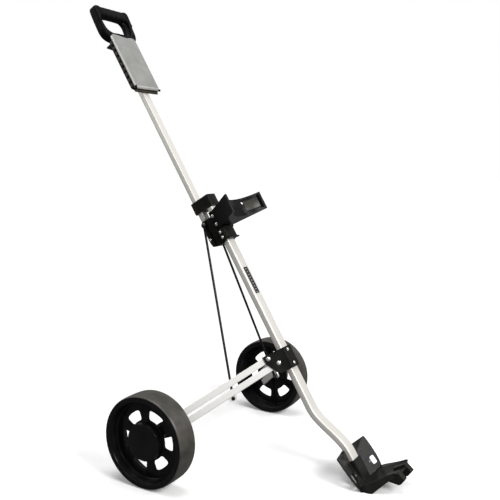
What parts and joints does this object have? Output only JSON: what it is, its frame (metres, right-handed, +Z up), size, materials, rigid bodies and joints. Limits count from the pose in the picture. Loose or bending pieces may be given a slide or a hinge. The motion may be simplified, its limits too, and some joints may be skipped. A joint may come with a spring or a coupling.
{
  "type": "golf pull cart",
  "caption": "Folding golf pull cart: spaced wheels on hinged legs, an inclined tube with an upper saddle and a lower rest for a bag, and a D handle with a score console.",
  "frame": {"origin": "on the floor, under the middle of the whole cart's length and width", "axes": "+Z up, X along the wheels' axles, -Y towards the bag side, the handle leans back towards +Y"},
  "size_m": [0.668, 0.9378, 1.2076],
  "materials": {
    "spine_tube": "satin anodised extrusion",
    "bars": "satin mill finish",
    "handle_tube": "satin anodised tube",
    "brackets": "black moulded, fine grain",
    "handle_frame": "black moulded, fine grain",
    "console": "black moulded, ribbed sides",
    "cover": "silver grey moulded, satin",
    "grip": "soft black rubber",
    "bush": "grey nylon",
    "wheels": "glossy black moulded",
    "hub_caps": "glossy black moulded, plain",
    "tyres": "black rubber, fine tread",
    "push_rods": "black painted round bar",
    "axles": "zinc plated",
    "fasteners": "zinc plated domed heads",
    "black_fasteners": "black oxide"
  },
  "bodies": {
    "spine": {"main_tube": "spine_tube", "top_collar": "brackets", "handle_guide_bush": "bush", "hub_front_shell": "brackets", "hub_rear_bracket": "brackets", "hub_screw_upper": "fasteners", "hub_screw_lower": "fasteners", "upper_leg_pin_left": "fasteners", "upper_leg_pin_right": "fasteners", "lower_leg_pin_left": "fasteners", "lower_leg_pin_right": "fasteners", "lower_cradle": "brackets", "toe_plate": "brackets", "foot_rivet_left": "fasteners", "foot_rivet_right": "fasteners"},
    "carriage": {"slider_body": "brackets", "slider_front_clamp": "brackets", "bag_saddle": "brackets", "cradle_screw_upper_left": "fasteners", "cradle_screw_upper_right": "fasteners", "cradle_screw_lower_left": "fasteners", "cradle_screw_lower_right": "fasteners", "clamp_screw_upper_left": "fasteners", "clamp_screw_upper_right": "fasteners", "clamp_screw_lower_left": "fasteners", "clamp_screw_lower_right": "fasteners", "push_rod_pin_left": "fasteners", "push_rod_pin_right": "fasteners", "handle_tube_bolt": "fasteners", "handle_tube": "handle_tube", "handle_frame": "handle_frame", "hand_grip": "grip", "console_body": "console", "cover_hinge_pin": "black_fasteners", "lever_pin": "fasteners"},
    "console_cover": {"score_plate": "cover"},
    "finger_lever": {"release_lever": "handle_frame"},
    "upper_leg_left": {"upper_bar_left": "bars"},
    "lower_leg_left": {"lower_bar_left": "bars", "push_rod_bolt_left": "black_fasteners"},
    "carrier_left": {"axle_carrier_left": "brackets", "upper_carrier_pin_left": "fasteners", "lower_carrier_pin_left": "fasteners", "axle_rod_left": "axles"},
    "road_wheel_left": {"wheel_left": "wheels", "tyre_left": "tyres", "hub_cap_left": "hub_caps"},
    "rod_left": {"push_rod_left": "push_rods"},
    "upper_leg_right": {"upper_bar_right": "bars"},
    "lower_leg_right": {"lower_bar_right": "bars", "push_rod_bolt_right": "black_fasteners"},
    "carrier_right": {"axle_carrier_right": "brackets", "upper_carrier_pin_right": "fasteners", "lower_carrier_pin_right": "fasteners", "axle_rod_right": "axles"},
    "road_wheel_right": {"wheel_right": "wheels", "tyre_right": "tyres", "hub_cap_right": "hub_caps"},
    "rod_right": {"push_rod_right": "push_rods"}
  },
  "joints": [
    {"name": "carriage_slide", "type": "slide", "parent": "spine", "child": "carriage", "axis": [0, -0.5203, -0.854], "range_m": [0, 0.098]},
    {"name": "console_cover_hinge", "type": "hinge", "parent": "carriage", "child": "console_cover", "pos_m": [0, 0.31845, 0.98039], "axis": [1, 0, 0], "range_deg": [0, 95]},
    {"name": "finger_lever_hinge", "type": "hinge", "parent": "carriage", "child": "finger_lever", "pos_m": [0, 0.43428, 1.09882], "axis": [1, 0, 0], "range_deg": [0, 20]},
    {"name": "upper_leg_fold_left", "type": "hinge", "parent": "spine", "child": "upper_leg_left", "pos_m": [-0.04151, -0.09985, 0.27668], "axis": [-0.766, -0.5489, 0.3344], "range_deg": [0, 74.2]},
    {"name": "lower_leg_fold_left", "type": "hinge", "parent": "spine", "child": "lower_leg_left", "pos_m": [-0.02866, -0.12386, 0.26672], "axis": [-0.766, -0.5489, 0.3344], "range_deg": [0, 74.2]},
    {"name": "carrier_fold_left", "type": "hinge", "parent": "upper_leg_left", "child": "carrier_left", "pos_m": [-0.23968, 0.08498, 0.12614], "axis": [-0.766, -0.5489, 0.3344], "range_deg": [-74.2, 0]},
    {"name": "wheel_spin_left", "type": "hinge", "parent": "carrier_left", "child": "road_wheel_left", "pos_m": [-0.303, 0.0786, 0.115], "axis": [1, 0, 0], "continuous": true},
    {"name": "push_rod_swing_left", "type": "hinge", "parent": "carriage", "child": "rod_left", "pos_m": [-0.02731, 0.10914, 0.61189], "axis": [-0.766, -0.5489, 0.3344], "range_deg": [0, 16.6]},
    {"name": "upper_leg_fold_right", "type": "hinge", "parent": "spine", "child": "upper_leg_right", "pos_m": [0.04151, -0.09985, 0.27668], "axis": [-0.766, 0.5489, -0.3344], "range_deg": [0, 74.2]},
    {"name": "lower_leg_fold_right", "type": "hinge", "parent": "spine", "child": "lower_leg_right", "pos_m": [0.02866, -0.12386, 0.26672], "axis": [-0.766, 0.5489, -0.3344], "range_deg": [0, 74.2]},
    {"name": "carrier_fold_right", "type": "hinge", "parent": "upper_leg_right", "child": "carrier_right", "pos_m": [0.23968, 0.08498, 0.12614], "axis": [-0.766, 0.5489, -0.3344], "range_deg": [-74.2, 0]},
    {"name": "wheel_spin_right", "type": "hinge", "parent": "carrier_right", "child": "road_wheel_right", "pos_m": [0.303, 0.0786, 0.115], "axis": [1, 0, 0], "continuous": true},
    {"name": "push_rod_swing_right", "type": "hinge", "parent": "carriage", "child": "rod_right", "pos_m": [0.02731, 0.10914, 0.61189], "axis": [-0.766, 0.5489, -0.3344], "range_deg": [0, 16.6]}
  ],
  "couplings": [
    {"joint": "upper_leg_fold_left", "follows": "carriage_slide", "rad_per_m": 13.179},
    {"joint": "lower_leg_fold_left", "follows": "carriage_slide", "rad_per_m": 13.179},
    {"joint": "carrier_fold_left", "follows": "carriage_slide", "rad_per_m": -13.179},
    {"joint": "push_rod_swing_left", "follows": "carriage_slide", "rad_per_m": 2.9333},
    {"joint": "upper_leg_fold_right", "follows": "carriage_slide", "rad_per_m": 13.179},
    {"joint": "lower_leg_fold_right", "follows": "carriage_slide", "rad_per_m": 13.179},
    {"joint": "carrier_fold_right", "follows": "carriage_slide", "rad_per_m": -13.179},
    {"joint": "push_rod_swing_right", "follows": "carriage_slide", "rad_per_m": 2.9333}
  ]
}
